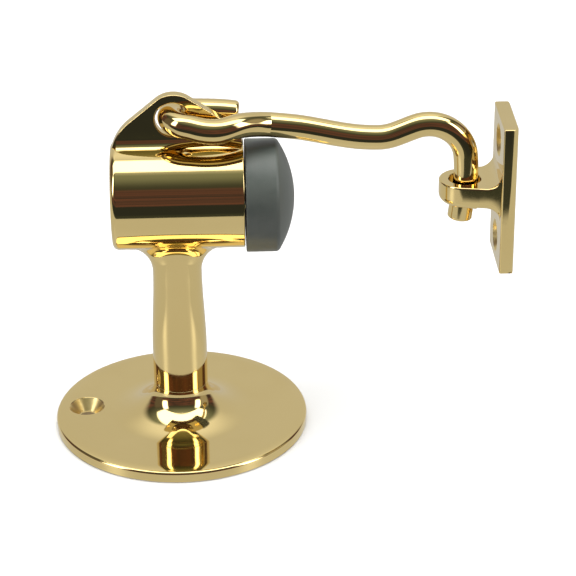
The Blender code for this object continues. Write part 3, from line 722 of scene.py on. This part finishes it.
def brass_material():
    """Polished and lacquered brass: nearly a mirror, with faint clouds and a little waviness."""
    material, shader, nodes = new_material("polished_brass_finish")
    place = nodes.add("ShaderNodeTexCoord", output=3)
    clouds = nodes.add("ShaderNodeTexNoise", Vector=place, Scale=45.0, Detail=3.0)
    fine = nodes.add("ShaderNodeTexNoise", Vector=place, Scale=900.0, Detail=4.0)
    colour = nodes.mix(nodes.step(clouds, 0.35, 0.65), (0.83, 0.645, 0.29), (0.85, 0.665, 0.305))
    nodes.feed(shader.inputs["Base Color"], colour)
    shader.inputs["Metallic"].default_value = 1.0
    rough = nodes.add("ShaderNodeMapRange", Value=nodes.math("ADD", clouds, fine),
                      From_Min=0.7, From_Max=1.3, To_Min=0.035, To_Max=0.075)
    x, y, z = nodes.split(place)
    margin = 0.05 * MM                      # the countersinks' rims stay polished,
    skin_depth = 0.4 * MM                   # and so do the faces that the holes come out at
    cones = [(x, FLOOR_SCREW.x, y, FLOOR_SCREW.y, FLOOR_SCREW_HEAD, z, skin_depth,
              BASE_THICKNESS)]
    cones += [(y, 0.0, z, height, DOOR_SCREW_HEAD, x, PLATE_FRONT, PLATE_BACK - skin_depth)
              for height in DOOR_SCREW_HEIGHTS]
    for a, a_middle, b, b_middle, radius, depth, low, high in cones:
        a_off = nodes.math("SUBTRACT", a, a_middle)
        b_off = nodes.math("SUBTRACT", b, b_middle)
        away = nodes.math("SQRT", nodes.math("ADD", nodes.math("MULTIPLY", a_off, a_off),
                                             nodes.math("MULTIPLY", b_off, b_off)))
        inside = nodes.math("MULTIPLY", nodes.math("LESS_THAN", away, radius - margin),
                            nodes.math("COMPARE", depth, (low + high) / 2, (high - low) / 2))
        rough = nodes.math("MAXIMUM", rough, nodes.math("MULTIPLY", inside, TURNED_ROUGHNESS))
    nodes.feed(shader.inputs["Roughness"], rough)
    waves = nodes.add("ShaderNodeTexNoise", Vector=place, Scale=120.0, Detail=1.0)
    bump = nodes.add("ShaderNodeBump", Strength=0.05, Distance=0.0004, Height=waves)
    nodes.feed(shader.inputs["Normal"], bump)
    return material


def rubber_material():
    """Grey rubber with a satin moulded skin, faint blotches and a fine grain."""
    material, shader, nodes = new_material("grey_rubber_finish")
    place = nodes.add("ShaderNodeTexCoord", output=3)
    blotches = nodes.add("ShaderNodeTexNoise", Vector=place, Scale=120.0, Detail=3.0)
    grain = nodes.add("ShaderNodeTexNoise", Vector=place, Scale=2500.0, Detail=2.0)
    nodes.feed(shader.inputs["Base Color"],
               nodes.mix(nodes.step(blotches, 0.3, 0.7), (0.052, 0.061, 0.055),
                         (0.067, 0.076, 0.068)))
    nodes.feed(shader.inputs["Roughness"],
               nodes.add("ShaderNodeMapRange", Value=blotches, From_Min=0.3, From_Max=0.7,
                         To_Min=0.36, To_Max=0.46))
    nodes.feed(shader.inputs["Normal"],
               nodes.add("ShaderNodeBump", Strength=0.12, Distance=0.0002, Height=grain))
    return material


def steel_material():
    """Zinc-plated steel with the plating's faint clouds, which also vary its roughness and bump it
    a little.
    """
    material, shader, nodes = new_material("zinc_steel_finish")
    place = nodes.add("ShaderNodeTexCoord", output=3)
    clouds = nodes.add("ShaderNodeTexNoise", Vector=place, Scale=300.0, Detail=4.0)
    nodes.feed(shader.inputs["Base Color"],
               nodes.mix(nodes.step(clouds, 0.3, 0.7), (0.50, 0.51, 0.51), (0.66, 0.66, 0.63)))
    shader.inputs["Metallic"].default_value = 1.0
    nodes.feed(shader.inputs["Roughness"],
               nodes.add("ShaderNodeMapRange", Value=clouds, From_Min=0.3, From_Max=0.7,
                         To_Min=0.28, To_Max=0.42))
    nodes.feed(shader.inputs["Normal"],
               nodes.add("ShaderNodeBump", Strength=0.1, Distance=0.0001, Height=clouds))
    return material


# ---------------------------------------------------------------- studio

def build_world():
    """A dim room round a white sweep, with a soft box overhead and one at each side."""
    world = bpy.data.worlds.new("studio")
    world.use_nodes = True
    bpy.context.scene.world = world
    nodes = Nodes(world.node_tree)
    direction = nodes.add("ShaderNodeTexCoord", output=0)
    x, y, z = nodes.split(direction)
    front = nodes.math("MULTIPLY", y, -1.0)
    over = nodes.math("ARCTAN2", z, front)           # 0 at the front, 90 degrees overhead
    turn = nodes.math("ARCTAN2", x, front)           # 0 at the front, 90 degrees at the door
    azimuth = nodes.math("ABSOLUTE", turn)
    elevation = nodes.math("ARCSINE", z)
    streaks = nodes.add("ShaderNodeTexNoise", Scale=3.0, Detail=3.0,
                        Vector=nodes.add("ShaderNodeMapping", Vector=direction,
                                         Scale=(0.5, 1.0, 6.0)))

    sweep = nodes.mix(nodes.step(elevation, radians(33), radians(64)),
                      (0.62, 0.62, 0.61), (0.98, 0.98, 0.965))
    sweep = nodes.mix(nodes.step(elevation, radians(64), radians(84)), sweep, (0.67, 0.67, 0.66))
    room = nodes.mix(nodes.step(streaks, 0.35, 0.65), (0.055, 0.040, 0.043), (0.155, 0.072, 0.066))
    olive = nodes.mix(nodes.step(elevation, radians(36), radians(64)), (0.06, 0.065, 0.055),
                      (0.24, 0.27, 0.22))
    olive = nodes.mix(nodes.step(elevation, radians(63), radians(75)), olive, (0.62, 0.64, 0.58))
    room = nodes.mix(nodes.step(elevation, radians(30), radians(38)), room, olive)
    low = nodes.band(elevation, radians(-40), radians(40), radians(6))
    for near, far, paint in ((77, 107, (0.40, 0.37, 0.31)), (-107, -77, (0.14, 0.12, 0.10))):
        wall = nodes.band(turn, radians(near), radians(far), radians(5))
        room = nodes.mix(nodes.math("MULTIPLY", low, wall), room, paint)
    ahead = nodes.math("SUBTRACT", 1.0, nodes.step(azimuth, radians(122), radians(138)))
    colour = nodes.mix(ahead, sweep, room)

    side_box = nodes.math("MULTIPLY", nodes.band(azimuth, radians(56), radians(73), radians(5)),
                          nodes.band(elevation, radians(14), radians(46), radians(6)))
    colour = nodes.mix(side_box, colour, (6.0, 6.0, 5.9))
    wide = nodes.math("SUBTRACT", 1.0, nodes.step(nodes.math("ABSOLUTE", x), 0.60, 0.66))
    top_box = nodes.math("MULTIPLY", nodes.band(over, radians(73), radians(101), radians(2)), wide)
    colour = nodes.mix(top_box, colour, (2.9, 2.9, 2.85))
    background = world.node_tree.nodes["Background"]
    world.node_tree.links.new(colour, background.inputs["Color"])


def plane(name, height):
    s = FLOOR_HALF
    return mesh_piece(name, [(-s, -s, height), (s, -s, height), (s, s, height), (-s, s, height)],
                      [(0, 1, 2, 3)])


def build_floor():
    """A pale matt floor, with painted shade in dark brown where the base stands on it. The brass
    doesn't reflect it.
    """
    floor = plane("floor", 0.0)
    material, shader, nodes = new_material("floor_paint")
    place = nodes.add("ShaderNodeTexCoord", output=3)
    away = nodes.add("ShaderNodeVectorMath", 1, set_operation="LENGTH", i0=place)
    # painted shade: dark brown under the base, seen through the screw hole
    nodes.feed(shader.inputs["Base Color"],
               nodes.mix(nodes.step(away, 34 * MM, 36 * MM), (0.12, 0.09, 0.05),
                         (0.56, 0.56, 0.558)))
    shader.inputs["Roughness"].default_value = 0.9
    shader.inputs["Specular IOR Level"].default_value = 0.1
    floor.data.materials.append(material)
    floor.visible_glossy = False
    return floor


def build_sheet():
    """A glowing sheet that only the brass's reflections see, in the floor's place: a painted
    reflection of a pale floor, with a painted dark reflection further in front.
    """
    sheet = plane("painted_reflection_sheet", -0.2 * MM)
    material, shader, nodes = new_material("painted_reflection_sheet_paint")
    place = nodes.add("ShaderNodeTexCoord", output=3)
    depth = nodes.split(place)[1]
    # painted reflection: dark further in front of the part
    painted_dark_reflection = nodes.mix(nodes.step(depth, -0.24, -0.20), (0.03, 0.034, 0.036),
                      (0.045, 0.052, 0.045))
    # painted reflection: the sheet glows pale near the part, though it is no lamp
    nodes.feed(shader.inputs["Emission Color"],
               nodes.mix(nodes.step(depth, -0.170, -0.160), painted_dark_reflection, (0.60, 0.60, 0.585)))
    shader.inputs["Emission Strength"].default_value = 1.0
    away = nodes.add("ShaderNodeVectorMath", 1, set_operation="DISTANCE", i0=place,
                     i1=(0.0, -0.06, 0.0))
    fade = nodes.math("MULTIPLY", 0.5, nodes.step(away, 0.075, 0.095))
    nodes.feed(shader.inputs["Specular IOR Level"], nodes.math("SUBTRACT", 0.5, fade))
    shader.inputs["Base Color"].default_value = (0.0, 0.0, 0.0, 1.0)
    shader.inputs["Roughness"].default_value = 0.33
    sheet.data.materials.append(material)
    for way in ("camera", "diffuse", "shadow", "transmission"):
        setattr(sheet, "visible_" + way, False)
    return sheet


def build_lamp():
    lamp = bpy.data.lights.new("overhead", "AREA")
    lamp.shape = "RECTANGLE"
    lamp.size, lamp.size_y = 1.6, 1.2
    lamp.energy = 31.0
    overhead = bpy.data.objects.new("overhead", lamp)
    overhead.location = (0.0, 0.1, 1.3)
    overhead.visible_glossy = False
    bpy.context.scene.collection.objects.link(overhead)


def build_camera():
    """A long lens that looks down on the front."""
    yaw, pitch, roll = radians(2.07), radians(26.42), radians(-0.46)
    forward = Vector((sin(yaw) * cos(pitch), cos(yaw) * cos(pitch), -sin(pitch)))
    right = Vector((cos(yaw), -sin(yaw), 0.0))
    up = right.cross(forward)
    across = cos(roll) * right + sin(roll) * up
    upwards = cos(roll) * up - sin(roll) * right
    lens = bpy.data.cameras.new("camera")
    lens.sensor_width = 36.0
    lens.lens = 136.575
    lens.clip_start = 0.01
    camera = bpy.data.objects.new("camera", lens)
    columns = Matrix((across, upwards, -forward)).transposed().to_4x4()
    camera.matrix_world = Matrix.Translation((0.01168, -0.58305, 0.33342)) @ columns
    bpy.context.scene.collection.objects.link(camera)
    bpy.context.scene.camera = camera


# ---------------------------------------------------------------- the part

def place_piece(piece, body, node, material):
    piece.data.materials.clear()
    piece.data.materials.append(material)
    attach(piece, body)
    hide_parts(node)


brass = brass_material()
rubber = rubber_material()
steel = steel_material()
place_piece(build_base(), "stop", "base_flange", brass)
place_piece(build_stop(), "stop", "stop_body", brass)
place_piece(build_bumper(), "stop", "bumper", rubber)
place_piece(build_hook(), "hook", "hook", brass)
place_piece(build_keeper(), "keeper", "keeper", brass)
for node in ("base_lockwasher", "base_locknut", "bumper_stud"):
    for material_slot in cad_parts[node].material_slots:
        material_slot.material = steel

build_world()
floor = build_floor()
sheet = build_sheet()
build_lamp()
build_camera()
bpy.context.scene.view_settings.view_transform = "Standard"
